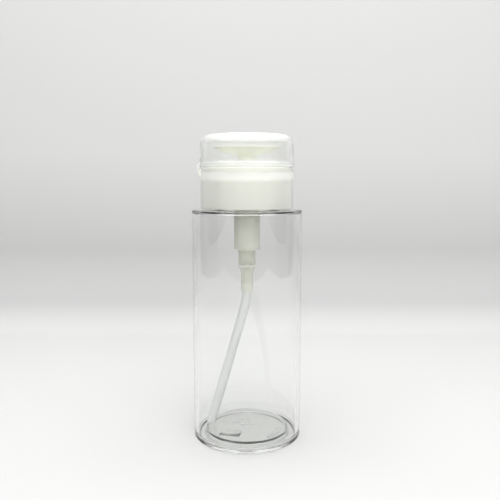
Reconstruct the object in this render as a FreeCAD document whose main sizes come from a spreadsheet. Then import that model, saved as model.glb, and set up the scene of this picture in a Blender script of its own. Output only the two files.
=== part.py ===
"""Press-down dispenser bottle with a flip lid: parametric model in millimetres, +Z up.

The origin is the centre of the bottle's standing ring. The pump's axis is Z and the lid's
living hinge is on the -X side. Each piece is one PartDesign body, most of them turned about Z.
"""
import FreeCAD, Part
import math
import os
import re
import Sketcher
from FreeCAD import Vector

doc = FreeCAD.newDocument("PressDownDispenser")

# ---------------------------------------------------------------- driving dimensions
SIZES = {
    # bottle
    "body_radius": 27.0,
    "body_height": 113.9,
    "body_wall": 2.0,
    "shoulder_wall": 1.2,
    "base_wall": 1.4,
    "heel_radius": 1.0,
    "floor_radius": 2.0,
    "shoulder_radius": 1.0,
    "foot_width": 5.7,
    "recess_rim": 0.5,
    "recess_depth": 2.5,
    "floor_crown": 0.3,
    # neck finish and its thread
    "neck_radius": 14.7,
    "neck_wall": 2.0,
    "neck_length": 13.1,
    "thread_depth": 1.25,
    "thread_base": 2.2,
    "thread_tip": 1.2,
    "thread_pitch": 4.23,
    "thread_gap": 0.3,
    "thread_start": 4.3,
    "thread_runout": 1.355,
    # collar
    "collar_radius": 22.77,
    "collar_wall": 1.3,
    "collar_gap": 0.7,
    "deck_thickness": 2.5,
    "deck_rib": 0.9,
    "ledge_height": 1.8,
    "ring_gap": 0.6,
    "ring_wall": 1.4,
    "ring_height": 4.3,
    # lid and its living hinge
    "lid_wall": 1.27,
    "lid_height": 15.5,
    "lid_corner": 4.3,
    "lid_gap": 0.3,
    "bead_step": 0.3,
    "bead_height": 2.0,
    "hinge_reach": 1.55,
    "hinge_width": 9.0,
    "hinge_drop": 4.2,
    "hinge_rise": 4.8,
    "hinge_leaf": 0.9,
    "film_gap": 0.15,
    # washers and sliding fits
    "gasket_thickness": 1.0,
    "seal_gap": 0.05,
    "turn_gap": 0.15,
    "slide_gap": 0.1,
    "piston_gap": 0.05,
    # pump housing
    "flange_gap": 0.35,
    "flange_thickness": 1.5,
    "head_wall": 1.4,
    "head_depth": 11.0,
    "barrel_radius": 6.5,
    "barrel_wall": 1.0,
    "barrel_length": 24.25,
    "chamber_step": 2.15,
    "chamber_length": 8.3,
    "chamber_taper": 3.3,
    "socket_wall": 0.75,
    "socket_length": 9.1,
    "vent_radius": 0.6,
    # valves
    "ball_radius": 2.0,
    "inlet_hole": 1.2,
    "ball_lift": 1.0,
    "retainer_height": 2.2,
    # dip tube
    "tube_radius": 2.35,
    "tube_wall": 0.7,
    "tube_grip": 8.0,
    "tube_drop": 4.1,
    "elbow_inset": 12.0,
    "elbow_rise": 18.6,
    "tip_inset": 6.4,
    "tip_gap": 1.6,
    # plunger
    "stroke": 6.0,
    "press_gap": 0.75,
    "skirt_wall": 1.35,
    "stem_radius": 3.0,
    "stem_bore": 1.3,
    "piston_depth": 12.55,
    "piston_height": 5.0,
    "outlet_ball_radius": 1.75,
    "outlet_lift": 0.6,
    "dish_gap": 3.7,
    "dish_slope": 2.3,
    "lip_width": 2.5,
    "dish_lip": 1.5,
    "dish_wall": 1.3,
    "bowl_round": 14.0,
    "rim_width": 0.8,
    "insert_step": 0.6,
    # guide ring and stem seal
    "guide_wall": 2.65,
    "guide_lip": 2.2,
    "guide_plate": 0.7,
    "guide_depth": 6.0,
    "seal_room": 1.0,
    "seal_height": 1.2,
    # return spring
    "wire_radius": 0.35,
    "coil_gap": 0.55,
    "coil_turns": 7.0,
}

sheet = doc.addObject("Spreadsheet::Sheet", "dims")
for row, (alias, value) in enumerate(SIZES.items(), start=1):
    sheet.set(f"A{row}", alias)
    sheet.set(f"B{row}", str(value))
    sheet.setAlias(f"B{row}", alias)

# Heights and radii that follow from the driving dimensions, as formulas in the sheet.
DERIVED = {
    "inner_radius": "body_radius - body_wall",
    "foot_radius": "body_radius - heel_radius - foot_width",
    "recess_radius": "body_radius - heel_radius - foot_width - recess_rim",
    "neck_bore": "neck_radius - neck_wall",
    "neck_top": "body_height + neck_length",
    "thread_turns": "(neck_length - thread_start - thread_base / 2 - thread_runout)"
                    " / thread_pitch",
    "crest_radius": "neck_radius + thread_depth",
    "nut_radius": "neck_radius + thread_depth + thread_gap",
    "collar_bottom": "body_height + collar_gap",
    "gasket_bottom": "body_height + neck_length + seal_gap",
    "flange_radius": "nut_radius - flange_gap",
    "flange_bottom": "gasket_bottom + gasket_thickness",
    "flange_top": "flange_bottom + flange_thickness",
    "deck_bottom": "flange_top + turn_gap",
    "deck_top": "deck_bottom + deck_thickness",
    "collar_top": "deck_top + ledge_height",
    "ring_radius": "collar_radius - lid_wall - ring_gap",
    "lid_bottom": "collar_top + lid_gap",
    "lid_top": "lid_bottom + lid_height",
    "hinge_height": "collar_top - turn_gap + film_gap",
    "hinge_radius": "collar_radius + hinge_reach",
    "skirt_radius": "stem_radius + skirt_wall",
    "guide_radius": "skirt_radius + guide_wall",
    "guide_flange": "guide_radius + guide_lip",
    "guide_top": "deck_top + turn_gap + guide_plate",
    "seal_radius": "guide_radius - seal_room",
    "head_radius": "guide_radius + head_wall",
    "bore_radius": "barrel_radius - barrel_wall",
    "barrel_bottom": "flange_top - head_depth - barrel_length",
    "barrel_floor": "barrel_bottom + barrel_wall",
    "chamber_radius": "barrel_radius - chamber_step",
    "chamber_bore": "chamber_radius - barrel_wall",
    "chamber_bottom": "barrel_bottom - chamber_length",
    "socket_radius": "tube_radius + socket_wall",
    "socket_top": "chamber_bottom - chamber_taper",
    "socket_bottom": "socket_top - socket_length",
    "tube_bore": "tube_radius - tube_wall",
    "seat_height": "chamber_bottom - 0.4",
    "inlet_centre": "seat_height - inlet_hole + (ball_radius + seal_gap) * sqrt(2)",
    "piston_foot": "flange_top - piston_depth - piston_height",
    "stem_bottom": "piston_foot + 1",
    "coil_radius": "bore_radius - coil_gap - wire_radius",
    "dish_base": "guide_top + stroke + press_gap",
    "dish_radius": "ring_radius - ring_wall - dish_gap",
    "dish_flat": "dish_radius - lip_width",
    "dish_rim": "dish_base + dish_slope + dish_lip + rim_width * 0.6",
    "insert_radius": "stem_radius - insert_step",
    "skirt_bottom": "dish_base - stroke - 2.8",
    "stem_top": "dish_base - slide_gap",
    "outlet_rise": "sqrt(outlet_ball_radius * outlet_ball_radius - stem_bore * stem_bore)"
                   " + seal_gap",
    "outlet_seat": "stem_top - outlet_ball_radius - outlet_lift - outlet_rise",
}
for row, (alias, formula) in enumerate(DERIVED.items(), start=len(SIZES) + 1):
    sheet.set(f"A{row}", alias)
    sheet.set(f"B{row}", "=" + formula)
    sheet.setAlias(f"B{row}", alias)
doc.recompute()


def size(formula):
    """The present value, in millimetres, of a formula written with the sheet's aliases."""
    return float(sheet.evalExpression(formula))


def bound(formula):
    """The same formula as an expression that other objects can be bound with."""
    return re.sub(r"[a-z_]{3,}", lambda word: "dims." + word.group(), formula)


# ---------------------------------------------------------------- building helpers
def new_body(name):
    body = doc.addObject("PartDesign::Body", name)
    body.Label = name
    body.Placement = FreeCAD.Placement()
    return body


def plane_sketch(body, name, role="XZ_Plane"):
    sketch = body.newObject("Sketcher::SketchObject", name)
    plane = [item for item in body.Origin.OriginFeatures if item.Role == role][0]
    sketch.AttachmentSupport = [(plane, "")]
    sketch.MapMode = "FlatFace"
    return sketch


def closed_outline(sketch, corners):
    """Draw a closed outline of straight sides, each corner tied to the sheet in x and y."""
    places = [Vector(size(x), size(y), 0) for x, y in corners]
    count = len(corners)
    for index in range(count):
        sketch.addGeometry(Part.LineSegment(places[index], places[(index + 1) % count]))
    for index in range(count):
        sketch.addConstraint(Sketcher.Constraint("Coincident", index, 2, (index + 1) % count, 1))
    for index, corner in enumerate(corners):
        for kind, axis, formula, value in (("DistanceX", -2, corner[0], places[index].x),
                                           ("DistanceY", -1, corner[1], places[index].y)):
            if formula == "0":
                sketch.addConstraint(Sketcher.Constraint("PointOnObject", index, 1, axis))
            elif value < 0:
                tied = sketch.addConstraint(Sketcher.Constraint(kind, index, 1, -1, 1, -value))
                sketch.setExpression(f"Constraints[{tied}]", bound(f"-({formula})"))
            else:
                tied = sketch.addConstraint(Sketcher.Constraint(kind, -1, 1, index, 1, value))
                sketch.setExpression(f"Constraints[{tied}]", bound(formula))
    return sketch


def turned(body, name, corners):
    """Turn an outline of (radius, height) corners a full turn about Z."""
    sketch = closed_outline(plane_sketch(body, name + "_outline"), corners)
    turn = body.newObject("PartDesign::Revolution", name)
    turn.Profile = sketch
    turn.ReferenceAxis = (sketch, ["V_Axis"])
    turn.Angle = 360
    doc.recompute()
    return turn


def ring_edges(shape, rings):
    """Names of the circular edges about Z at each (radius, height)."""
    wanted = [(size(radius), size(height)) for radius, height in rings]
    names = []
    for number, edge in enumerate(shape.Edges, start=1):
        curve = edge.Curve
        if curve.TypeId != "Part::GeomCircle":
            continue
        for radius, height in wanted:
            if abs(curve.Radius - radius) < 1e-4 and abs(curve.Center.z - height) < 1e-4:
                names.append(f"Edge{number}")
    return names


def rounded(body, name, radius, rings):
    """Fillet the circular edges at each (radius, height)."""
    base = body.Tip
    fillet = body.newObject("PartDesign::Fillet", name)
    fillet.Base = (base, ring_edges(base.Shape, rings))
    fillet.setExpression("Radius", bound(radius))
    doc.recompute()
    return fillet


def ridge(body, name, corners):
    """Wind a small outline round Z as a screw thread."""
    sketch = closed_outline(plane_sketch(body, name + "_outline"), corners)
    helix = body.newObject("PartDesign::AdditiveHelix", name)
    helix.Profile = sketch
    helix.ReferenceAxis = (sketch, ["V_Axis"])
    helix.Mode = "pitch-turns-angle"
    helix.setExpression("Pitch", bound("thread_pitch"))
    helix.setExpression("Turns", bound("thread_turns"))
    doc.recompute()
    return helix


def leaf(body, name, corners):
    """A hinge leaf: an outline in the XZ plane padded evenly to both sides."""
    sketch = closed_outline(plane_sketch(body, name + "_outline"), corners)
    pad = body.newObject("PartDesign::Pad", name)
    pad.Profile = sketch
    pad.Midplane = True
    pad.setExpression("Length", bound("hinge_width"))
    doc.recompute()
    return pad


# ---------------------------------------------------------------- bottle
def make_bottle():
    """Blow-moulded bottle: thick clear wall, pushed-up base, flat shoulder, screw neck."""
    body = new_body("bottle")
    turned(body, "bottle_shell", [
        ("foot_radius", "0"),
        ("body_radius", "0"),
        ("body_radius", "body_height"),
        ("neck_radius", "body_height"),
        ("neck_radius", "neck_top"),
        ("neck_bore", "neck_top"),
        ("neck_bore", "body_height - shoulder_wall"),
        ("inner_radius", "body_height - shoulder_wall"),
        ("inner_radius", "base_wall"),
        ("foot_radius + base_wall * 0.7", "base_wall"),
        ("recess_radius + base_wall * 0.6", "recess_depth + base_wall"),
        ("0", "recess_depth + base_wall + floor_crown"),
        ("0", "recess_depth + floor_crown"),
        ("recess_radius", "recess_depth"),
    ])
    rounded(body, "heel_round", "heel_radius", [("body_radius", "0")])
    rounded(body, "shoulder_round", "shoulder_radius", [("body_radius", "body_height")])
    rounded(body, "shoulder_inner_round", "shoulder_radius",
            [("inner_radius", "body_height - shoulder_wall")])
    rounded(body, "neck_root_round", "shoulder_radius * 0.5", [("neck_radius", "body_height")])
    rounded(body, "neck_lip_round", "shoulder_radius * 0.3",
            [("neck_radius", "neck_top"), ("neck_bore", "neck_top")])
    rounded(body, "recess_round", "heel_radius * 0.4",
            [("recess_radius", "recess_depth"), ("foot_radius", "0")])
    rounded(body, "floor_round", "floor_radius", [("inner_radius", "base_wall")])
    rounded(body, "trough_round", "floor_radius * 0.3",
            [("foot_radius + base_wall * 0.7", "base_wall"),
             ("recess_radius + base_wall * 0.6", "recess_depth + base_wall")])
    middle = "body_height + thread_start"
    body.Tip = ridge(body, "neck_thread", [
        ("neck_radius - 0.4", f"{middle} - thread_base / 2"),
        ("crest_radius", f"{middle} - thread_tip / 2"),
        ("crest_radius", f"{middle} + thread_tip / 2"),
        ("neck_radius - 0.4", f"{middle} + thread_base / 2"),
    ])
    return body


# ---------------------------------------------------------------- collar
def make_collar():
    """Screw collar: outer skirt, threaded inner skirt, deck, and the ring the lid closes over."""
    body = new_body("collar")
    turned(body, "collar_shell", [
        ("guide_radius + turn_gap", "deck_bottom"),
        ("nut_radius", "deck_bottom"),
        ("nut_radius", "collar_bottom + 0.2"),
        ("nut_radius + collar_wall", "collar_bottom + 0.2"),
        ("nut_radius + collar_wall", "deck_bottom - deck_rib"),
        ("collar_radius - collar_wall", "deck_bottom - deck_rib"),
        ("collar_radius - collar_wall", "collar_bottom"),
        ("collar_radius", "collar_bottom"),
        ("collar_radius", "collar_top"),
        ("ring_radius", "collar_top"),
        ("ring_radius", "deck_top + ring_height"),
        ("ring_radius - ring_wall", "deck_top + ring_height"),
        ("ring_radius - ring_wall", "deck_top"),
        ("guide_radius + turn_gap", "deck_top"),
    ])
    rounded(body, "skirt_round", "collar_wall * 0.35",
            [("collar_radius", "collar_bottom"), ("collar_radius", "collar_top")])
    rounded(body, "ring_round", "ring_wall * 0.35",
            [("ring_radius", "deck_top + ring_height"),
             ("ring_radius - ring_wall", "deck_top + ring_height")])
    rounded(body, "well_round", "ring_wall * 0.5", [("ring_radius - ring_wall", "deck_top")])
    middle = "body_height + thread_start - thread_pitch / 2 - thread_gap"
    ridge(body, "collar_thread", [
        ("nut_radius + 0.4", f"{middle} - thread_base * 0.4"),
        ("nut_radius + 0.4", f"{middle} + thread_base * 0.4"),
        ("neck_radius + thread_gap", f"{middle} + thread_tip * 0.4"),
        ("neck_radius + thread_gap", f"{middle} - thread_tip * 0.4"),
    ])
    body.Tip = leaf(body, "hinge_leaf_lower", [
        ("-(collar_radius - 0.8)", "hinge_height - hinge_drop"),
        ("-(collar_radius - 0.1)", "hinge_height - hinge_drop"),
        ("-hinge_radius", "hinge_height - film_gap - 0.35"),
        ("-hinge_radius", "hinge_height - film_gap"),
        ("-(hinge_radius - hinge_leaf)", "hinge_height - film_gap"),
        ("-(collar_radius - 0.8)", "hinge_height - hinge_drop + hinge_leaf * 2"),
    ])
    return body


# ---------------------------------------------------------------- lid
def make_lid():
    """Flip lid: a flat-topped dome with a thicker rim, moulded with the upper hinge leaf."""
    body = new_body("lid")
    turned(body, "lid_shell", [
        ("collar_radius - lid_wall", "lid_bottom"),
        ("collar_radius + bead_step", "lid_bottom"),
        ("collar_radius + bead_step", "lid_bottom + bead_height"),
        ("collar_radius", "lid_bottom + bead_height + bead_step"),
        ("collar_radius", "lid_top"),
        ("0", "lid_top"),
        ("0", "lid_top - lid_wall"),
        ("collar_radius - lid_wall", "lid_top - lid_wall"),
    ])
    rounded(body, "dome_round", "lid_corner", [("collar_radius", "lid_top")])
    rounded(body, "dome_inner_round", "lid_corner - lid_wall",
            [("collar_radius - lid_wall", "lid_top - lid_wall")])
    rounded(body, "rim_round", "lid_wall * 0.35",
            [("collar_radius + bead_step", "lid_bottom"),
             ("collar_radius - lid_wall", "lid_bottom")])
    body.Tip = leaf(body, "hinge_leaf_upper", [
        ("-(collar_radius - 0.8)", "hinge_height + hinge_rise - hinge_leaf * 2"),
        ("-(hinge_radius - hinge_leaf)", "hinge_height + film_gap"),
        ("-hinge_radius", "hinge_height + film_gap"),
        ("-hinge_radius", "hinge_height + film_gap + 0.35"),
        ("-(collar_radius - 0.1)", "hinge_height + hinge_rise"),
        ("-(collar_radius - 0.8)", "hinge_height + hinge_rise"),
    ])
    return body


# ---------------------------------------------------------------- pump engine
def make_gasket():
    """Foamed washer that seals the housing's flange on the neck."""
    body = new_body("neck_gasket")
    turned(body, "gasket_ring", [
        ("neck_bore", "gasket_bottom"),
        ("flange_radius - 0.1", "gasket_bottom"),
        ("flange_radius - 0.1", "flange_bottom"),
        ("neck_bore", "flange_bottom"),
    ])
    return body


def make_housing():
    """Stepped pump cylinder: flange, head, barrel, valve chamber, and socket for the tube."""
    body = new_body("pump_housing")
    turned(body, "housing_shell", [
        ("tube_radius", "socket_bottom"),
        ("socket_radius", "socket_bottom"),
        ("socket_radius", "socket_top"),
        ("chamber_radius", "chamber_bottom"),
        ("chamber_radius", "barrel_bottom"),
        ("barrel_radius", "barrel_bottom"),
        ("barrel_radius", "flange_top - head_depth"),
        ("head_radius", "flange_top - head_depth + 1.5"),
        ("head_radius", "flange_bottom"),
        ("flange_radius", "flange_bottom"),
        ("flange_radius", "flange_top"),
        ("guide_radius", "flange_top"),
        ("guide_radius", "guide_top - guide_plate - guide_depth - 1.5"),
        ("bore_radius", "guide_top - guide_plate - guide_depth - 3.5"),
        ("bore_radius", "barrel_floor"),
        ("chamber_bore", "barrel_floor"),
        ("chamber_bore", "seat_height + (chamber_bore - inlet_hole)"),
        ("inlet_hole", "seat_height"),
        ("inlet_hole", "socket_bottom + tube_grip"),
        ("tube_radius", "socket_bottom + tube_grip"),
    ])
    rounded(body, "flange_round", "flange_thickness * 0.2", [("flange_radius", "flange_top")])
    rounded(body, "ledge_round", "barrel_wall * 0.4",
            [("barrel_radius", "barrel_bottom"), ("chamber_radius", "chamber_bottom")])
    vent_sketch = plane_sketch(body, "vent_outline")
    vent_sketch.addGeometry(Part.Circle(Vector(0, size("flange_top - head_depth - 3"), 0),
                                        Vector(0, 0, 1), size("vent_radius")))
    vent_sketch.addConstraint(Sketcher.Constraint("PointOnObject", 0, 3, -2))
    tied = vent_sketch.addConstraint(Sketcher.Constraint(
        "DistanceY", -1, 1, 0, 3, size("flange_top - head_depth - 3")))
    vent_sketch.setExpression(f"Constraints[{tied}]", bound("flange_top - head_depth - 3"))
    tied = vent_sketch.addConstraint(Sketcher.Constraint("Radius", 0, size("vent_radius")))
    vent_sketch.setExpression(f"Constraints[{tied}]", bound("vent_radius"))
    vent = body.newObject("PartDesign::Pocket", "vent_hole")
    vent.Profile = vent_sketch
    vent.Reversed = False
    vent.setExpression("Length", bound("barrel_radius + 1"))
    doc.recompute()
    body.Tip = vent
    return body


def make_guide_ring():
    """Guide ring pressed into the housing's head; its plate holds the collar on the pump."""
    body = new_body("guide_ring")
    turned(body, "guide_shell", [
        ("skirt_radius + slide_gap", "guide_top - guide_plate - guide_depth"),
        ("guide_radius", "guide_top - guide_plate - guide_depth"),
        ("guide_radius", "deck_top + turn_gap"),
        ("guide_flange", "deck_top + turn_gap"),
        ("guide_flange", "guide_top"),
        ("skirt_radius + slide_gap", "guide_top"),
    ])
    rounded(body, "guide_round", "guide_plate * 0.4", [("guide_flange", "guide_top")])
    return body


def make_stem_seal():
    """Soft wiper under the guide ring that keeps liquid from rising past the plunger."""
    body = new_body("stem_seal")
    top = "guide_top - guide_plate - guide_depth"
    turned(body, "seal_ring", [
        ("skirt_radius + slide_gap", f"{top} - seal_height"),
        ("seal_radius", f"{top} - seal_height"),
        ("seal_radius + 0.4", top),
        ("skirt_radius + slide_gap", top),
    ])
    return body


def make_ball_retainer():
    """Ring pressed into the valve chamber; it caps the inlet ball's lift and seats the spring."""
    body = new_body("ball_retainer")
    foot = "inlet_centre + ball_radius + ball_lift + 0.1"
    turned(body, "retainer_ring", [
        ("inlet_hole", foot),
        ("chamber_bore", foot),
        ("chamber_bore", f"{foot} + retainer_height"),
        ("inlet_hole * 1.6", f"{foot} + retainer_height"),
        ("inlet_hole", f"{foot} + retainer_height * 0.5"),
    ])
    return body


def make_ball(name, radius, height):
    """A valve ball on the pump's axis."""
    ball = doc.addObject("Part::Sphere", name)
    ball.Label = name
    ball.setExpression("Radius", bound(radius))
    ball.setExpression("Placement.Base.z", bound(height))
    doc.recompute()
    return ball


def make_dip_tube():
    """Dip tube: straight in the socket, then bent gently to the bottom corner at -X."""
    top = Vector(0, 0, size("socket_bottom + tube_grip"))
    bend = Vector(0, 0, size("socket_bottom - tube_drop"))
    tip = Vector(-size("inner_radius - tip_inset"), 0, size("recess_depth + base_wall + tip_gap"))
    elbow = Vector(-size("inner_radius - elbow_inset"), 0, tip.z + size("elbow_rise"))
    route = [top, bend, elbow, tip]
    edges = []
    start = route[0]
    for before, corner, after in zip(route, route[1:], route[2:]):
        inward = (before - corner).normalize()
        outward = (after - corner).normalize()
        half_turn = (math.pi - inward.getAngle(outward)) / 2
        reach = 0.45 * min((before - corner).Length, (after - corner).Length)
        radius = reach / math.tan(half_turn)
        print(f"dip tube bend radius {radius:.0f} mm")
        first = corner + inward * reach
        last = corner + outward * reach
        centre_way = (inward + outward).normalize()
        middle = corner + centre_way * (radius / math.cos(half_turn) - radius)
        edges.append(Part.LineSegment(start, first).toShape())
        edges.append(Part.Arc(first, middle, last).toShape())
        start = last
    edges.append(Part.LineSegment(start, route[-1]).toShape())
    path = Part.Wire(edges)
    rings = []
    for radius in (size("tube_radius"), size("tube_bore")):
        circle = Part.Wire(Part.makeCircle(radius, route[0], Vector(0, 0, -1)))
        rings.append(path.makePipeShell([circle], True, True))
    expected = math.pi * (size("tube_radius") ** 2 - size("tube_bore") ** 2) * path.Length
    shape = rings[0].cut(rings[1])
    print(f"dip tube volume {shape.Volume:.1f} of {expected:.1f} mm3")
    tube = doc.addObject("Part::Feature", "dip_tube")
    tube.Label = "dip_tube"
    tube.Shape = shape
    tube.Placement = FreeCAD.Placement()
    return tube


def make_spring():
    """Return spring: round wire wound in the barrel, from its floor to the piston."""
    body = new_body("return_spring")
    sketch = plane_sketch(body, "wire_outline")
    foot = "barrel_floor + wire_radius + slide_gap"
    sketch.addGeometry(Part.Circle(Vector(size("coil_radius"), size(foot), 0),
                                   Vector(0, 0, 1), size("wire_radius")))
    for kind, formula in (("DistanceX", "coil_radius"), ("DistanceY", foot)):
        tied = sketch.addConstraint(Sketcher.Constraint(kind, -1, 1, 0, 3, size(formula)))
        sketch.setExpression(f"Constraints[{tied}]", bound(formula))
    tied = sketch.addConstraint(Sketcher.Constraint("Radius", 0, size("wire_radius")))
    sketch.setExpression(f"Constraints[{tied}]", bound("wire_radius"))
    coil = body.newObject("PartDesign::AdditiveHelix", "spring_coil")
    coil.Profile = sketch
    coil.ReferenceAxis = (sketch, ["V_Axis"])
    coil.Mode = "height-turns-angle"
    coil.setExpression("Height", bound(
        "piston_foot - barrel_floor - 2 * (wire_radius + slide_gap)"))
    coil.setExpression("Turns", bound("coil_turns"))
    doc.recompute()
    body.Tip = coil
    return body


# ---------------------------------------------------------------- plunger
def make_piston():
    """Piston: a soft cup pressed on the stem's foot, with a sealing lip at each end."""
    body = new_body("piston")
    foot = "piston_foot"
    turned(body, "piston_cup", [
        ("stem_bore", foot),
        ("bore_radius - piston_gap - 0.5", foot),
        ("bore_radius - piston_gap", f"{foot} + 0.5"),
        ("bore_radius - piston_gap", f"{foot} + 1.2"),
        ("bore_radius - piston_gap - 0.5", f"{foot} + 1.8"),
        ("bore_radius - piston_gap - 0.5", f"{foot} + piston_height - 0.9"),
        ("bore_radius - piston_gap", f"{foot} + piston_height - 0.2"),
        ("bore_radius - piston_gap", f"{foot} + piston_height"),
        ("stem_radius", f"{foot} + piston_height"),
        ("stem_radius", "stem_bottom"),
        ("stem_bore", "stem_bottom"),
    ])
    return body


def make_stem():
    """Hollow stem that joins the piston to the dish, with the outlet ball's seat at its top."""
    body = new_body("stem")
    turned(body, "stem_tube", [
        ("stem_bore", "stem_bottom"),
        ("stem_radius", "stem_bottom"),
        ("stem_radius", "stem_top"),
        ("outlet_ball_radius + 0.45", "stem_top"),
        ("outlet_ball_radius + 0.45", "outlet_seat + 0.9"),
        ("stem_bore", "outlet_seat"),
    ])
    return body


def make_dish():
    """Press dish: a shallow cone with a raised lip and a skirt that sleeves the stem."""
    body = new_body("dish")
    turned(body, "dish_bowl", [
        ("stem_radius", "skirt_bottom"),
        ("skirt_radius", "skirt_bottom"),
        ("skirt_radius", "dish_base"),
        ("dish_flat", "dish_base + dish_slope"),
        ("dish_radius", "dish_base + dish_slope + dish_lip"),
        ("dish_radius", "dish_rim"),
        ("dish_radius - rim_width", "dish_rim"),
        ("dish_flat - rim_width * 0.5", "dish_base + dish_slope + dish_wall * 0.6"),
        ("insert_radius * 2", "dish_base + dish_wall"),
        ("insert_radius", "dish_base + dish_wall"),
        ("insert_radius", "dish_base"),
        ("stem_radius", "dish_base"),
    ])
    rounded(body, "bowl_bend", "bowl_round", [("dish_flat", "dish_base + dish_slope")])
    rounded(body, "lip_round", "rim_width * 0.3",
            [("dish_radius", "dish_rim"), ("dish_radius - rim_width", "dish_rim")])
    rounded(body, "skirt_root_round", "dish_wall * 0.5", [("skirt_radius", "dish_base")])
    return body


def make_insert():
    """Outlet plug pressed into the dish's centre, with four holes that spread the liquid."""
    body = new_body("outlet_insert")
    turned(body, "insert_disc", [
        ("0", "dish_base + 0.3"),
        ("insert_radius", "dish_base + 0.3"),
        ("insert_radius", "dish_base + dish_wall + 0.3"),
        ("insert_radius - 0.5", "dish_base + dish_wall + 0.6"),
        ("0", "dish_base + dish_wall + 0.6"),
    ])
    sketch = plane_sketch(body, "outlet_outline", "XY_Plane")
    sketch.addGeometry(Part.Circle(Vector(size("insert_radius / 2"), 0, 0),
                                   Vector(0, 0, 1), size("insert_radius / 6")))
    sketch.addConstraint(Sketcher.Constraint("PointOnObject", 0, 3, -1))
    tied = sketch.addConstraint(Sketcher.Constraint(
        "DistanceX", -1, 1, 0, 3, size("insert_radius / 2")))
    sketch.setExpression(f"Constraints[{tied}]", bound("insert_radius / 2"))
    tied = sketch.addConstraint(Sketcher.Constraint("Radius", 0, size("insert_radius / 6")))
    sketch.setExpression(f"Constraints[{tied}]", bound("insert_radius / 6"))
    hole = body.newObject("PartDesign::Pocket", "outlet_hole")
    hole.Profile = sketch
    hole.Reversed = True
    hole.setExpression("Length", bound("lid_top"))
    doc.recompute()
    holes = body.newObject("PartDesign::PolarPattern", "outlet_holes")
    holes.Originals = [hole]
    holes.Axis = (sketch, ["N_Axis"])
    holes.Angle = 360
    holes.Occurrences = 4
    body.Tip = holes
    doc.recompute()
    return body


# ---------------------------------------------------------------- build, check, write
pieces = [
    make_bottle(),
    make_collar(),
    make_lid(),
    make_gasket(),
    make_housing(),
    make_guide_ring(),
    make_stem_seal(),
    make_ball_retainer(),
    make_ball("inlet_ball", "ball_radius", "inlet_centre"),
    make_dip_tube(),
    make_spring(),
    make_piston(),
    make_stem(),
    make_dish(),
    make_insert(),
    make_ball("outlet_ball", "outlet_ball_radius", "outlet_seat + outlet_rise"),
]
doc.recompute()

for item in doc.Objects:
    if "Invalid" in item.State or "Error" in item.State:
        raise RuntimeError(f"{item.Label} failed: {item.State}")
for piece in pieces:
    if piece.Shape.isNull() or not piece.Shape.isValid() or len(piece.Shape.Solids) != 1:
        raise RuntimeError(f"{piece.Label} isn't one valid solid")

os.makedirs("parts", exist_ok=True)
for piece in pieces:
    piece.Shape.exportStep(f"parts/{piece.Label}.step")
    print(f"{piece.Label}: {piece.Shape.Volume:.1f} mm3")
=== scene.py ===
import math
import bmesh
import bpy
from mathutils import Matrix, Vector


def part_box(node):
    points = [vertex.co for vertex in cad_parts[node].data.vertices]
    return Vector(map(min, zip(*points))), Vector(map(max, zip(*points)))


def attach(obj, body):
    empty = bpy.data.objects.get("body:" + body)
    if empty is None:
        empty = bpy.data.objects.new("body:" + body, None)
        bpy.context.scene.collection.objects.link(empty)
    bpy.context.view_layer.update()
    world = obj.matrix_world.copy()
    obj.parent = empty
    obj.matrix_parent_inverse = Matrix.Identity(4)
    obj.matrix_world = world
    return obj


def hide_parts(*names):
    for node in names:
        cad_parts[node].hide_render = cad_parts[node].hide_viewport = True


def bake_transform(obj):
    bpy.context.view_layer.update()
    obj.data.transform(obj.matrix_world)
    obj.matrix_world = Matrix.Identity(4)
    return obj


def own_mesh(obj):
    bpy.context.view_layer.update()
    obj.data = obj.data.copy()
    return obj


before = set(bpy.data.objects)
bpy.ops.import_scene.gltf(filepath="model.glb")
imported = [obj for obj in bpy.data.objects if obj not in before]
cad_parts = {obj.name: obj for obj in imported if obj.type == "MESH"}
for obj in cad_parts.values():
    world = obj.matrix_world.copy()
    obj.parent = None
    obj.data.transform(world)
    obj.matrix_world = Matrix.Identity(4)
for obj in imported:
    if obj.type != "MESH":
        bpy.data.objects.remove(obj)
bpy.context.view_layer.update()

MM = 0.001
scene = bpy.context.scene

# ---------------------------------------------------------------- backdrop, light and camera
# A matt white bench top sweeps up into a pale grey wall; the paper's colour carries painted shade,
# darkest at the wall's foot and paler above. One wide soft lamp hangs overhead and a weaker one
# stands by the camera, in a room that is darker low down and at both sides.
BENCH_BACK = 0.185
BENCH_FRONT = 0.62
BENCH_TOP = -0.0001
SWEEP_RADIUS = 0.065
WALL_HEIGHT = 0.80
STAGE_HALF = 0.62
SHADE_RAMP_FOOT = 0.0005
SHADE_RAMP_HEAD = 0.45


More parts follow.
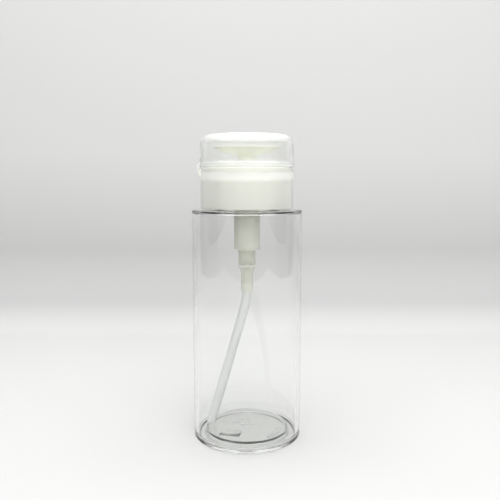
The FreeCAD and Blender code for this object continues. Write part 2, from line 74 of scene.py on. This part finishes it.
def stage_paper():
    """Matt paper with painted shade in its colour: white on the bench, greyest at the foot of the
    wall, paler again above, as the lamp's light falls off.
    """
    material = bpy.data.materials.new("stage_paper")
    material.use_nodes = True
    nodes, links = material.node_tree.nodes, material.node_tree.links
    shader = nodes["Principled BSDF"]
    shader.inputs["Roughness"].default_value = 0.9
    shader.inputs["Specular IOR Level"].default_value = 0.1
    place = nodes.new("ShaderNodeTexCoord")
    split = nodes.new("ShaderNodeSeparateXYZ")
    links.new(place.outputs["Object"], split.inputs[0])
    # Painted shade and light: this ramp darkens the paper at the foot of the wall and lightens it
    # higher up, standing in for the lamp's falloff.
    painted_shade_ramp = nodes.new("ShaderNodeValToRGB")
    painted_shade_ramp.color_ramp.elements[0].color = (0.56, 0.56, 0.55, 1)
    painted_shade_ramp.color_ramp.elements[1].color = (0.61, 0.61, 0.605, 1)
    for place_up, shade in ((0.04, 0.44), (0.34, 0.59), (0.51, 0.60)):
        painted_shade_ramp.color_ramp.elements.new(place_up).color = (shade, shade, shade * 0.99, 1)
    painted_shade_height = nodes.new("ShaderNodeMapRange")
    painted_shade_height.inputs["From Min"].default_value = SHADE_RAMP_FOOT
    painted_shade_height.inputs["From Max"].default_value = SHADE_RAMP_HEAD
    links.new(split.outputs["Z"], painted_shade_height.inputs["Value"])
    links.new(painted_shade_height.outputs["Result"], painted_shade_ramp.inputs["Fac"])
    links.new(painted_shade_ramp.outputs["Color"], shader.inputs["Base Color"])
    return material


def bench_and_wall():
    """Bench, sweep and wall as one strip, drawn at one side and drawn out to the other."""
    mesh = bmesh.new()
    front = mesh.verts.new((-STAGE_HALF, -BENCH_FRONT, BENCH_TOP))
    foot = mesh.verts.new((-STAGE_HALF, BENCH_BACK, BENCH_TOP))
    mesh.edges.new((front, foot))
    bmesh.ops.spin(mesh, geom=[foot], cent=(0, BENCH_BACK, SWEEP_RADIUS), axis=(1, 0, 0),
                   angle=math.pi / 2, steps=32, use_merge=False)
    head = max(mesh.verts, key=lambda vertex: vertex.co.z)
    top = mesh.verts.new((-STAGE_HALF, head.co.y, WALL_HEIGHT))
    mesh.edges.new((head, top))
    strip = bmesh.ops.extrude_edge_only(mesh, edges=mesh.edges[:])["geom"]
    moved = [item for item in strip if isinstance(item, bmesh.types.BMVert)]
    bmesh.ops.translate(mesh, verts=moved, vec=(2 * STAGE_HALF, 0, 0))
    bmesh.ops.recalc_face_normals(mesh, faces=mesh.faces[:])
    for face in mesh.faces:
        face.smooth = True
    data = bpy.data.meshes.new("bench_and_wall")
    data.materials.append(stage_paper())
    mesh.to_mesh(data)
    mesh.free()
    backdrop = bpy.data.objects.new("bench_and_wall", data)
    scene.collection.objects.link(backdrop)
    return backdrop


bench_and_wall()


def soft_lamp(name, place, aim, width, depth, power):
    """Hang a rectangular lamp at a place, turned towards its aim; power is in watts."""
    data = bpy.data.lights.new(name, "AREA")
    data.shape = "RECTANGLE"
    data.size = width
    data.size_y = depth
    data.energy = power
    lamp = bpy.data.objects.new(name, data)
    scene.collection.objects.link(lamp)
    lamp.location = place
    lamp.rotation_euler = (Vector(aim) - Vector(place)).to_track_quat("-Z", "Y").to_euler()
    return lamp


soft_lamp("overhead_lamp", (0.0, -0.05, 0.75), (0, 0.02, 0), 0.9, 0.7, 5.3)
fill = soft_lamp("camera_lamp", (0.20, -0.70, 0.45), (0, 0, 0.08), 0.5, 0.4, 2.4)
fill.visible_glossy = False
fill.visible_transmission = False

ROOM_DARK = (0.30, 0.30, 0.30, 1)
ROOM_LIGHT = (1.1, 1.1, 1.12, 1)
ROOM_LIGHT_FROM = 0.6
CARD_BLACK = (0.08, 0.08, 0.08, 1)
CARD_STARTS, CARD_FULL = 0.86, 0.90

world = bpy.data.worlds.new("studio_world")
scene.world = world
world.use_nodes = True
world_nodes, world_links = world.node_tree.nodes, world.node_tree.links
way = world_nodes.new("ShaderNodeTexCoord")
ways = world_nodes.new("ShaderNodeSeparateXYZ")
world_links.new(way.outputs["Generated"], ways.inputs[0])
height = world_nodes.new("ShaderNodeMapRange")
height.inputs["From Max"].default_value = ROOM_LIGHT_FROM
world_links.new(ways.outputs["Z"], height.inputs["Value"])
room = world_nodes.new("ShaderNodeMix")
room.data_type = "RGBA"
room.inputs["A"].default_value = ROOM_DARK
room.inputs["B"].default_value = ROOM_LIGHT
world_links.new(height.outputs["Result"], room.inputs["Factor"])
# Black cards at both sides draw the edges of the clear plastic.
aside = world_nodes.new("ShaderNodeMath")
aside.operation = "ABSOLUTE"
world_links.new(ways.outputs["X"], aside.inputs[0])
reach = world_nodes.new("ShaderNodeMapRange")
reach.inputs["From Min"].default_value = CARD_STARTS
reach.inputs["From Max"].default_value = CARD_FULL
world_links.new(aside.outputs["Value"], reach.inputs["Value"])
cards = world_nodes.new("ShaderNodeMix")
cards.data_type = "RGBA"
cards.inputs["B"].default_value = CARD_BLACK
world_links.new(reach.outputs["Result"], cards.inputs["Factor"])
world_links.new(room.outputs["Result"], cards.inputs["A"])
world_links.new(cards.outputs["Result"], world_nodes["Background"].inputs["Color"])

CAMERA_DROP = 6.66

camera_data = bpy.data.cameras.new("camera")
camera_data.lens = 41.4
camera_data.sensor_width = 36.0
camera_data.clip_start = 0.01
camera = bpy.data.objects.new("camera", camera_data)
scene.collection.objects.link(camera)
camera.location = (0.0015, -0.2839, 0.12695)
camera.rotation_euler = (math.radians(90 - CAMERA_DROP), 0, 0)
scene.camera = camera

scene.view_settings.view_transform = "Standard"
scene.cycles.max_bounces = 40
scene.cycles.transmission_bounces = 40
scene.cycles.diffuse_bounces = 6
scene.cycles.caustics_reflective = False
scene.cycles.caustics_refractive = True
scene.cycles.use_denoising = True
scene.cycles.sample_clamp_indirect = 4.0
scene.cycles.blur_glossy = 0.5


# ---------------------------------------------------------------- bottle
# Blow-moulded clear PETG with a thick even wall, a flat shoulder and a pushed-up base. The
# wall is one outline turned about the axis, and the neck's screw thread is wound on it.
TURN_STEPS = 192


def turned(corners, steps=TURN_STEPS):
    """Turn a closed outline of (radius, height, corner radius) in mm into a solid."""
    places = [Vector((r * MM, 0, z * MM)) for r, z, rounding in corners]
    mesh = bmesh.new()
    mesh.faces.new([mesh.verts.new(place) for place in places])
    for index, (r, z, rounding) in enumerate(corners):
        if rounding > 0:
            here = places[index]
            after = places[(index + 1) % len(places)]
            turn = math.pi - (places[index - 1] - here).angle(after - here)
            corner = min(mesh.verts, key=lambda vertex: (vertex.co - here).length)
            bmesh.ops.bevel(mesh, geom=[corner], offset=rounding * MM * math.tan(turn / 2),
                            offset_type="OFFSET", segments=max(3, round(turn / 0.18)),
                            profile=0.5, affect="VERTICES", material=-1)
    bmesh.ops.delete(mesh, geom=mesh.faces[:], context="FACES_ONLY")
    on_axis = [edge for edge in mesh.edges if all(abs(end.co.x) < 1e-7 for end in edge.verts)]
    bmesh.ops.delete(mesh, geom=on_axis, context="EDGES")
    bmesh.ops.spin(mesh, geom=mesh.verts[:] + mesh.edges[:], cent=(0, 0, 0), axis=(0, 0, 1),
                   angle=2 * math.pi, steps=steps, use_merge=True)
    bmesh.ops.remove_doubles(mesh, verts=mesh.verts[:], dist=1e-7)
    bmesh.ops.recalc_face_normals(mesh, faces=mesh.faces[:])
    return mesh


def wound(mesh, corners, pitch, turns, steps=72):
    """Wind a small outline of (radius, height) in mm round the axis as a screw ridge."""
    ridge = bmesh.new()
    rim = [ridge.verts.new((r * MM, 0, z * MM)) for r, z in corners]
    face = ridge.faces.new(rim)
    count = round(steps * turns)
    bmesh.ops.spin(ridge, geom=[face], cent=(0, 0, 0), axis=(0, 0, 1),
                   dvec=(0, 0, pitch * turns / count * MM), angle=2 * math.pi * turns,
                   steps=count, use_merge=False)
    bmesh.ops.recalc_face_normals(ridge, faces=ridge.faces[:])
    joined(mesh, ridge)


def joined(mesh, other):
    """Add one bmesh to another."""
    data = bpy.data.meshes.new("joined")
    other.to_mesh(data)
    other.free()
    mesh.from_mesh(data)
    bpy.data.meshes.remove(data)


def piece(name, mesh, material, body, slot, *nodes):
    """Finish a mesh as a named piece, riding on a CAD body and standing for the nodes named."""
    for face in mesh.faces:
        face.smooth = True
    for edge in mesh.edges:
        edge.smooth = not (len(edge.link_faces) == 2 and edge.calc_face_angle(0) > 0.5)
    data = bpy.data.meshes.new(name)
    mesh.to_mesh(data)
    mesh.free()
    data.materials.append(material)
    made = bpy.data.objects.new(name, data)
    scene.collection.objects.link(made)
    if body:
        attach(made, body)
    if nodes:
        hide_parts(*nodes)
    return made


def clear_plastic(name, colour, roughness, transmission, through, grain, skin, haze=0.0,
                  milky=()):
    """Moulded plastic that light passes. Its gloss drifts with the flow of the melt, its skin
    has a fine ripple, and lamps reach what it covers at the strength given by through. It can
    be cloudier in bands: milky lists the tuned (height in mm, share of clearness) pairs."""
    material = bpy.data.materials.new(name)
    material.use_nodes = True
    nodes, links = material.node_tree.nodes, material.node_tree.links
    shader = nodes["Principled BSDF"]
    shader.inputs["IOR"].default_value = 1.57 if transmission == 1.0 else 1.49
    shader.inputs["Transmission Weight"].default_value = transmission
    place = nodes.new("ShaderNodeTexCoord")
    flow = nodes.new("ShaderNodeTexNoise")
    flow.inputs["Scale"].default_value = grain
    flow.inputs["Detail"].default_value = 3
    links.new(place.outputs["Object"], flow.inputs["Vector"])
    tint = nodes.new("ShaderNodeMix")
    tint.data_type = "RGBA"
    tint.inputs["A"].default_value = (*[channel * (1 - haze) for channel in colour], 1)
    tint.inputs["B"].default_value = (*colour, 1)
    links.new(flow.outputs["Fac"], tint.inputs["Factor"])
    links.new(tint.outputs["Result"], shader.inputs["Base Color"])
    gloss = nodes.new("ShaderNodeMapRange")
    gloss.inputs["To Min"].default_value = roughness * 0.7
    gloss.inputs["To Max"].default_value = roughness * 1.3
    links.new(flow.outputs["Fac"], gloss.inputs["Value"])
    links.new(gloss.outputs["Result"], shader.inputs["Roughness"])
    ripple = nodes.new("ShaderNodeBump")
    ripple.inputs["Strength"].default_value = skin
    ripple.inputs["Distance"].default_value = 0.0002
    links.new(flow.outputs["Fac"], ripple.inputs["Height"])
    links.new(ripple.outputs["Normal"], shader.inputs["Normal"])
    if milky:
        split = nodes.new("ShaderNodeSeparateXYZ")
        links.new(place.outputs["Object"], split.inputs[0])
        lowest, highest = milky[0][0], milky[-1][0]
        span = nodes.new("ShaderNodeMapRange")
        span.inputs["From Min"].default_value = lowest * MM
        span.inputs["From Max"].default_value = highest * MM
        links.new(split.outputs["Z"], span.inputs["Value"])
        ramp = nodes.new("ShaderNodeValToRGB").color_ramp
        while len(ramp.elements) < len(milky):
            ramp.elements.new(1.0)
        for stop, (at, share) in zip(ramp.elements, milky):
            stop.position = (at - lowest) / (highest - lowest)
            stop.color = (share * transmission,) * 3 + (1,)
        links.new(span.outputs["Result"], nodes["Color Ramp"].inputs["Fac"])
        links.new(nodes["Color Ramp"].outputs["Color"], shader.inputs["Transmission Weight"])
    if through > 0:
        path = nodes.new("ShaderNodeLightPath")
        passed = nodes.new("ShaderNodeBsdfTransparent")
        passed.inputs["Color"].default_value = (*[channel * through for channel in colour], 1)
        lamps = nodes.new("ShaderNodeMixShader")
        links.new(path.outputs["Is Shadow Ray"], lamps.inputs["Fac"])
        links.new(shader.outputs["BSDF"], lamps.inputs[1])
        links.new(passed.outputs["BSDF"], lamps.inputs[2])
        links.new(lamps.outputs["Shader"], nodes["Material Output"].inputs["Surface"])
    return material


clear_petg = clear_plastic("clear_petg", (0.985, 0.99, 0.985), 0.015, 1.0, 0.90, 45, 0.03)

BOTTLE_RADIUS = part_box("bottle")[1].x / MM
NECK_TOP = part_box("bottle")[1].z / MM
NECK_LENGTH = 13.1
SHOULDER = NECK_TOP - NECK_LENGTH
WALL = 2.0
INNER_RADIUS = BOTTLE_RADIUS - WALL
NECK_RADIUS = 14.7
NECK_BORE = 12.7
FOOT_RADIUS = 20.3
RECESS_RADIUS = 19.8
RECESS_DEPTH = 2.5
CROWN = 0.3
FLOOR = 1.4
SHOULDER_WALL = 1.2
PITCH = 4.23

bottle = turned([
    (FOOT_RADIUS, 0, 0.4),
    (BOTTLE_RADIUS, 0, 1.0),
    (BOTTLE_RADIUS, SHOULDER, 0.6),
    (NECK_RADIUS, SHOULDER, 0.5),
    (NECK_RADIUS, NECK_TOP, 0.3),
    (NECK_BORE, NECK_TOP, 0.3),
    (NECK_BORE, SHOULDER - SHOULDER_WALL, 0.5),
    (INNER_RADIUS, SHOULDER - SHOULDER_WALL, 0.6),
    (INNER_RADIUS, FLOOR, 2.0),
    (FOOT_RADIUS + 1.0, FLOOR, 0.6),
    (RECESS_RADIUS + 0.85, RECESS_DEPTH + FLOOR, 0.6),
    (0, RECESS_DEPTH + FLOOR + CROWN, 0),
    (0, RECESS_DEPTH + CROWN, 0),
    (RECESS_RADIUS, RECESS_DEPTH, 0.4),
])
THREAD_MIDDLE = SHOULDER + 4.3
THREAD_ROOT = NECK_RADIUS - 0.02
THREAD_CREST = NECK_RADIUS + 1.25
THREAD_TURNS = 1.5
wound(bottle, [(THREAD_ROOT, THREAD_MIDDLE - 0.9), (THREAD_CREST, THREAD_MIDDLE - 0.6),
               (THREAD_CREST, THREAD_MIDDLE + 0.6), (THREAD_ROOT, THREAD_MIDDLE + 0.9)],
      PITCH, THREAD_TURNS)
piece("bottle_wall", bottle, clear_petg, "bottle", "clear_petg", "bottle")

# ---------------------------------------------------------------- base marks
# Moulders press small marks into the push-up: here a plain raised bar, a block of dots, two
# dashes and a row of ticks, none of them lettering. They stand out of the recess by 0.3 mm.
MARK_HEIGHT = 0.3
MARK_EASE = 0.12
TICK_CIRCLE = 16.6


def mark(mesh, x, y, width, depth, turn):
    """One raised bar, centred at x and y in mm, sunk into the recess's roof."""
    roof = RECESS_DEPTH + CROWN * (1 - math.hypot(x, y) / RECESS_RADIUS)
    bar = bmesh.ops.create_cube(mesh, size=1.0)["verts"]
    bmesh.ops.scale(mesh, vec=(width * MM, depth * MM, 2 * MARK_HEIGHT * MM), verts=bar)
    bmesh.ops.rotate(mesh, cent=(0, 0, 0), matrix=Matrix.Rotation(turn, 3, "Z"), verts=bar)
    bmesh.ops.translate(mesh, vec=(x * MM, y * MM, roof * MM), verts=bar)


marks = bmesh.new()
mark(marks, -8.0, -9.8, 10.0, 6.2, math.radians(-14))
for row in range(4):
    for column in range(3):
        mark(marks, -2.2 + 2.3 * column, 7.0 - 2.3 * row, 1.3, 1.1, 0)
for row in range(2):
    mark(marks, -5.8, 6.8 - 4.6 * row, 3.8, 0.7, 0)
for tick in range(6):
    angle = math.radians(-16 - 7.5 * tick)
    mark(marks, TICK_CIRCLE * math.cos(angle), TICK_CIRCLE * math.sin(angle), 2.6, 0.6, angle)
bmesh.ops.bevel(marks, geom=marks.edges[:], offset=MARK_EASE * MM, offset_type="OFFSET", segments=2,
                profile=0.5, affect="EDGES", material=-1)
piece("base_marks", marks, clear_petg, "bottle", "clear_petg")

# ---------------------------------------------------------------- collar
# Natural polypropylene, milkiest at the deck, where it is thickest: a smooth outer skirt, an
# inner skirt with the nut's thread, the deck, the lid's ring, and the lower hinge leaf.
natural_collar = clear_plastic(
    "natural_collar", (0.955, 0.96, 0.92), 0.13, 0.8, 0.85, 60, 0.02, 0.02,
    milky=[(114.0, 0.5), (115.4, 0.78), (127.4, 0.78), (129.4, 0.4), (131.2, 0.4),
           (132.6, 0.7), (134.0, 0.8), (136.5, 0.85)])

COLLAR_RADIUS = 22.77
SKIRT_WALL = 1.3
COLLAR_BOTTOM = SHOULDER + 0.7
DECK_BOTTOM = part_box("guide_ring")[1].z / MM - 3.35
DECK_TOP = DECK_BOTTOM + 2.5
COLLAR_TOP = DECK_TOP + 1.8
DECK_BORE = 7.15
RING_RADIUS = 20.9
RING_WALL = 1.4
RING_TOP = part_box("collar")[1].z / MM
NUT_RADIUS = 16.25
HINGE_HEIGHT = COLLAR_TOP
HINGE_RADIUS = COLLAR_RADIUS + 1.55
HINGE_HALF = 4.5
LEAF_EASE = 0.12
LEAF_EDGE = HINGE_RADIUS - 0.08
FILM_GAP = 0.15


def hinge_leaf(mesh, corners):
    """Add a leaf: an outline of (x, z) in mm padded to both sides, with eased edges."""
    leaf = bmesh.new()
    face = leaf.faces.new(
        [leaf.verts.new((x * MM, -HINGE_HALF * MM, z * MM)) for x, z in corners])
    grown = bmesh.ops.extrude_face_region(leaf, geom=[face])["geom"]
    bmesh.ops.translate(leaf, vec=(0, 2 * HINGE_HALF * MM, 0),
                        verts=[item for item in grown if isinstance(item, bmesh.types.BMVert)])
    bmesh.ops.recalc_face_normals(leaf, faces=leaf.faces[:])
    bmesh.ops.bevel(leaf, geom=leaf.edges[:], offset=LEAF_EASE * MM, offset_type="OFFSET",
                    segments=2, profile=0.5, affect="EDGES", material=-1)
    joined(mesh, leaf)


collar = turned([
    (DECK_BORE, DECK_BOTTOM, 0.2),
    (NUT_RADIUS, DECK_BOTTOM, 0.2),
    (NUT_RADIUS, COLLAR_BOTTOM + 0.2, 0.3),
    (NUT_RADIUS + SKIRT_WALL, COLLAR_BOTTOM + 0.2, 0.3),
    (NUT_RADIUS + SKIRT_WALL, DECK_BOTTOM - 0.9, 0.4),
    (COLLAR_RADIUS - SKIRT_WALL, DECK_BOTTOM - 0.9, 0.4),
    (COLLAR_RADIUS - SKIRT_WALL, COLLAR_BOTTOM, 0.3),
    (COLLAR_RADIUS, COLLAR_BOTTOM, 0.45),
    (COLLAR_RADIUS, COLLAR_TOP, 0.45),
    (RING_RADIUS, COLLAR_TOP, 0.2),
    (RING_RADIUS, RING_TOP, 0.5),
    (RING_RADIUS - RING_WALL, RING_TOP, 0.5),
    (RING_RADIUS - RING_WALL, DECK_TOP, 0.7),
    (DECK_BORE, DECK_TOP, 0.2),
])
NUT_MIDDLE = THREAD_MIDDLE - PITCH / 2 - 0.3
NUT_ROOT = NUT_RADIUS + 0.02
NUT_CREST = NECK_RADIUS + 0.3
wound(collar, [(NUT_ROOT, NUT_MIDDLE - 0.88), (NUT_ROOT, NUT_MIDDLE + 0.88),
               (NUT_CREST, NUT_MIDDLE + 0.48), (NUT_CREST, NUT_MIDDLE - 0.48)],
      PITCH, THREAD_TURNS)
hinge_leaf(collar, [
    (-(COLLAR_RADIUS - 0.8), HINGE_HEIGHT - 4.2),
    (-(COLLAR_RADIUS - 0.1), HINGE_HEIGHT - 4.2),
    (-LEAF_EDGE, HINGE_HEIGHT - FILM_GAP - 0.35),
    (-LEAF_EDGE, HINGE_HEIGHT - FILM_GAP),
    (-(HINGE_RADIUS - 0.9), HINGE_HEIGHT - FILM_GAP),
    (-(COLLAR_RADIUS - 0.8), HINGE_HEIGHT - 2.4),
])
piece("collar_shell", collar, natural_collar, "collar", "natural_pp_collar", "collar")

# ---------------------------------------------------------------- lid
# The same polypropylene, thinner and clearer: a flat-topped dome, cloudier at top and foot, with
# a bead round its foot and the upper leaf of the living hinge, all one moulding.
natural_lid = clear_plastic(
    "natural_lid", (0.99, 0.995, 0.985), 0.06, 0.95, 0.9, 60, 0.02, 0.02,
    milky=[(134.3, 0.65), (136.6, 0.82), (138.4, 0.96), (145.2, 0.97), (147.6, 0.78),
           (149.8, 0.6)])

LID_BOTTOM = COLLAR_TOP + 0.3
LID_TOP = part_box("lid")[1].z / MM
LID_WALL = 1.27
BEAD = 0.3

lid = turned([
    (COLLAR_RADIUS - LID_WALL, LID_BOTTOM, 0.4),
    (COLLAR_RADIUS + BEAD, LID_BOTTOM, 0.4),
    (COLLAR_RADIUS + BEAD, LID_BOTTOM + 2.0, 0.15),
    (COLLAR_RADIUS, LID_BOTTOM + 2.3, 0.15),
    (COLLAR_RADIUS, LID_TOP, 4.3),
    (0, LID_TOP, 0),
    (0, LID_TOP - LID_WALL, 0),
    (COLLAR_RADIUS - LID_WALL, LID_TOP - LID_WALL, 3.1),
])
hinge_leaf(lid, [
    (-(COLLAR_RADIUS - 0.8), HINGE_HEIGHT + 3.0),
    (-(HINGE_RADIUS - 0.9), HINGE_HEIGHT + FILM_GAP),
    (-LEAF_EDGE, HINGE_HEIGHT + FILM_GAP),
    (-LEAF_EDGE, HINGE_HEIGHT + FILM_GAP + 0.35),
    (-(COLLAR_RADIUS - 0.1), HINGE_HEIGHT + 4.8),
    (-(COLLAR_RADIUS - 0.8), HINGE_HEIGHT + 4.8),
])
piece("lid_dome", lid, natural_lid, "lid", "natural_pp_lid", "lid")

# ---------------------------------------------------------------- hinge film
# The living hinge itself: a thin web of the same moulding that joins the two leaves on the
# hinge's axis. The real web bends when the lid swings open; this one is a flat sheet on no body.
FILM_THICKNESS = 0.2
FILM_LAP = 0.3

film = bmesh.new()
web = bmesh.ops.create_grid(film, x_segments=10, y_segments=8, size=0.5)["verts"]
bmesh.ops.scale(film, verts=web,
                vec=(2 * (FILM_GAP + FILM_LAP) * MM, 2 * (HINGE_HALF - 0.1) * MM, 1))
bmesh.ops.rotate(film, cent=(0, 0, 0), matrix=Matrix.Rotation(math.pi / 2, 3, "Y"), verts=web)
bmesh.ops.translate(film, vec=(-(HINGE_RADIUS - 0.1) * MM, 0, HINGE_HEIGHT * MM), verts=web)
bmesh.ops.recalc_face_normals(film, faces=film.faces[:])
bmesh.ops.solidify(film, geom=film.faces[:], thickness=FILM_THICKNESS * MM)
hinge_film = piece("hinge_film", film, natural_lid, None, "natural_pp_lid")
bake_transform(hinge_film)

# ---------------------------------------------------------------- pump housing
# The stepped cylinder that hangs through the neck, in natural polypropylene with a faint yellow
# cast: flange, head, barrel, valve chamber, and the socket that grips the tube.
natural_pump = clear_plastic(
    "natural_pump", (0.97, 0.975, 0.90), 0.1, 0.85, 0.85, 80, 0.02, 0.03,
    milky=[(73.0, 0.7), (85.6, 0.7), (86.2, 0.2), (87.0, 0.8), (93.6, 0.8), (94.3, 0.1),
           (95.2, 0.5), (118.0, 0.5), (129.6, 0.3)])

FLANGE_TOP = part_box("pump_housing")[1].z / MM
SOCKET_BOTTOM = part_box("pump_housing")[0].z / MM
BARREL_BOTTOM = 94.3
BARREL_RADIUS = 6.5
BORE_RADIUS = 5.5
CHAMBER_BOTTOM = 86.0
CHAMBER_RADIUS = 4.35
CHAMBER_BORE = 3.35
CHAMBER_TAPER = 3.3
BARREL_FLOOR = BARREL_BOTTOM + 1.0
HEAD_RADIUS = 8.4
HEAD_BORE = 7.0
FLANGE_RADIUS = 15.9
FLANGE_BOTTOM = FLANGE_TOP - 1.5
INLET_HOLE = 1.2
TUBE_RADIUS = 2.35
SOCKET_RADIUS = TUBE_RADIUS + 0.75
SOCKET_STOP = SOCKET_BOTTOM + 8.0
SEAT = CHAMBER_BOTTOM - 0.4

housing = turned([
    (TUBE_RADIUS, SOCKET_BOTTOM, 0.15),
    (SOCKET_RADIUS, SOCKET_BOTTOM, 0.25),
    (SOCKET_RADIUS, CHAMBER_BOTTOM - CHAMBER_TAPER, 0.6),
    (CHAMBER_RADIUS, CHAMBER_BOTTOM, 0.5),
    (CHAMBER_RADIUS, BARREL_BOTTOM, 0.2),
    (BARREL_RADIUS, BARREL_BOTTOM, 0.5),
    (BARREL_RADIUS, FLANGE_TOP - 11.0, 0.5),
    (HEAD_RADIUS, FLANGE_TOP - 9.5, 0.6),
    (HEAD_RADIUS, FLANGE_BOTTOM, 0.3),
    (FLANGE_RADIUS, FLANGE_BOTTOM, 0.2),
    (FLANGE_RADIUS, FLANGE_TOP, 0.3),
    (HEAD_BORE, FLANGE_TOP, 0.2),
    (HEAD_BORE, FLANGE_TOP - 4.85, 0.3),
    (BORE_RADIUS, FLANGE_TOP - 6.85, 0.5),
    (BORE_RADIUS, BARREL_FLOOR, 0.2),
    (CHAMBER_BORE, BARREL_FLOOR, 0.2),
    (CHAMBER_BORE, SEAT + CHAMBER_BORE - INLET_HOLE, 0.3),
    (INLET_HOLE, SEAT, 0.1),
    (INLET_HOLE, SOCKET_STOP, 0.1),
    (TUBE_RADIUS, SOCKET_STOP, 0.1),
], steps=96)
piece("pump_cylinder", housing, natural_pump, "pump", "natural_pp_pump", "pump_housing")

# ---------------------------------------------------------------- return spring
# Stainless wire wound in the barrel, with its first and last turns closed. The real spring
# shortens between the barrel's floor and the piston as the dish goes down; this coil keeps one
# length.
WIRE_RADIUS = 0.35
COIL_RADIUS = 4.6
SPRING_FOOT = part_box("return_spring")[0].z / MM
SPRING_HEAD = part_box("return_spring")[1].z / MM
CLOSED_TURNS = 1.0
OPEN_TURNS = 5.5


def spring_steel():
    """Drawn stainless wire: bright, its gloss varied by fine noise."""
    material = bpy.data.materials.new("spring_steel")
    material.use_nodes = True
    nodes, links = material.node_tree.nodes, material.node_tree.links
    shader = nodes["Principled BSDF"]
    shader.inputs["Base Color"].default_value = (0.62, 0.62, 0.60, 1)
    shader.inputs["Metallic"].default_value = 1.0
    place = nodes.new("ShaderNodeTexCoord")
    lines = nodes.new("ShaderNodeTexNoise")
    lines.inputs["Scale"].default_value = 900
    links.new(place.outputs["Object"], lines.inputs["Vector"])
    gloss = nodes.new("ShaderNodeMapRange")
    gloss.inputs["To Min"].default_value = 0.18
    gloss.inputs["To Max"].default_value = 0.38
    links.new(lines.outputs["Fac"], gloss.inputs["Value"])
    links.new(gloss.outputs["Result"], shader.inputs["Roughness"])
    return material


steel = spring_steel()
spring = bmesh.new()
section = bmesh.ops.create_circle(spring, cap_ends=True, radius=WIRE_RADIUS * MM,
                                  segments=12)["verts"]
bmesh.ops.rotate(spring, cent=(0, 0, 0), matrix=Matrix.Rotation(math.pi / 2, 3, "X"),
                 verts=section)
bmesh.ops.translate(spring, vec=(COIL_RADIUS * MM, 0, (SPRING_FOOT + WIRE_RADIUS) * MM),
                    verts=section)
closed_pitch = 2 * WIRE_RADIUS
open_length = SPRING_HEAD - SPRING_FOOT - closed_pitch - 2 * CLOSED_TURNS * closed_pitch
last = spring.faces[:]
for turns, pitch in ((CLOSED_TURNS, closed_pitch), (OPEN_TURNS, open_length / OPEN_TURNS),
                     (CLOSED_TURNS, closed_pitch)):
    steps = round(turns * 40)
    made = bmesh.ops.spin(spring, geom=last, cent=(0, 0, 0), axis=(0, 0, 1),
                          dvec=(0, 0, pitch * turns / steps * MM), angle=2 * math.pi * turns,
                          steps=steps, use_merge=False)
    last = [item for item in made["geom_last"] if isinstance(item, bmesh.types.BMFace)]
bmesh.ops.recalc_face_normals(spring, faces=spring.faces[:])
return_spring = piece("return_coil", spring, steel, "pump", "stainless_wire", "return_spring")
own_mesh(return_spring)

# ---------------------------------------------------------------- dish
# The press dish in off-white polypropylene: a shallow bowl with a thin raised lip, and under it
# the skirt that sleeves the stem and slides in the guide ring.
dish_white = clear_plastic("dish_white", (0.94, 0.945, 0.87), 0.22, 0.35, 0.7, 130, 0.03, 0.03)

DISH_BASE = 139.8
SLEEVE_RADIUS = 4.35
SLEEVE_BORE = 3.0
OUTLET_BORE = 2.4
DISH_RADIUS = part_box("dish")[1].x / MM
DISH_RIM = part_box("dish")[1].z / MM
SKIRT_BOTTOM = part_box("dish")[0].z / MM

dish = turned([
    (SLEEVE_BORE, SKIRT_BOTTOM, 0.15),
    (SLEEVE_RADIUS, SKIRT_BOTTOM, 0.3),
    (SLEEVE_RADIUS, DISH_BASE, 0.65),
    (13.3, DISH_BASE + 2.3, 14.0),
    (DISH_RADIUS, DISH_BASE + 3.8, 0.25),
    (DISH_RADIUS, DISH_RIM, 0.24),
    (DISH_RADIUS - 0.8, DISH_RIM, 0.24),
    (12.9, DISH_BASE + 3.08, 12.0),
    (4.8, DISH_BASE + 1.3, 2.0),
    (OUTLET_BORE, DISH_BASE + 1.3, 0.15),
    (OUTLET_BORE, DISH_BASE, 0),
    (SLEEVE_BORE, DISH_BASE, 0),
])
piece("press_dish", dish, dish_white, "plunger", "white_pp_dish", "dish")

# ---------------------------------------------------------------- parts finished as they are
# Gasket, guide ring, seal, ball retainer, piston, stem, outlet insert, dip tube and the two
# valve balls keep their shape, and each gets the finish of its own plastic or metal.
foam = clear_plastic("foamed_washer", (0.92, 0.91, 0.84), 0.75, 0.0, 0.0, 700, 0.5, 0.10)
soft_white = clear_plastic("soft_white", (0.93, 0.93, 0.89), 0.42, 0.0, 0.0, 220, 0.12, 0.04)
tube_plastic = clear_plastic(
    "tube_plastic", (0.93, 0.935, 0.925), 0.12, 0.55, 0.9, 160, 0.06, 0.03)
finishes = {
    "neck_gasket": foam, "stem_seal": foam, "piston": soft_white,
    "guide_ring": natural_pump, "ball_retainer": natural_pump, "stem": natural_pump,
    "outlet_insert": dish_white, "dip_tube": tube_plastic,
    "inlet_ball": steel, "outlet_ball": steel,
}
for node, finish in finishes.items():
    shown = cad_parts[node]
    shown.data.materials.clear()
    shown.data.materials.append(finish)
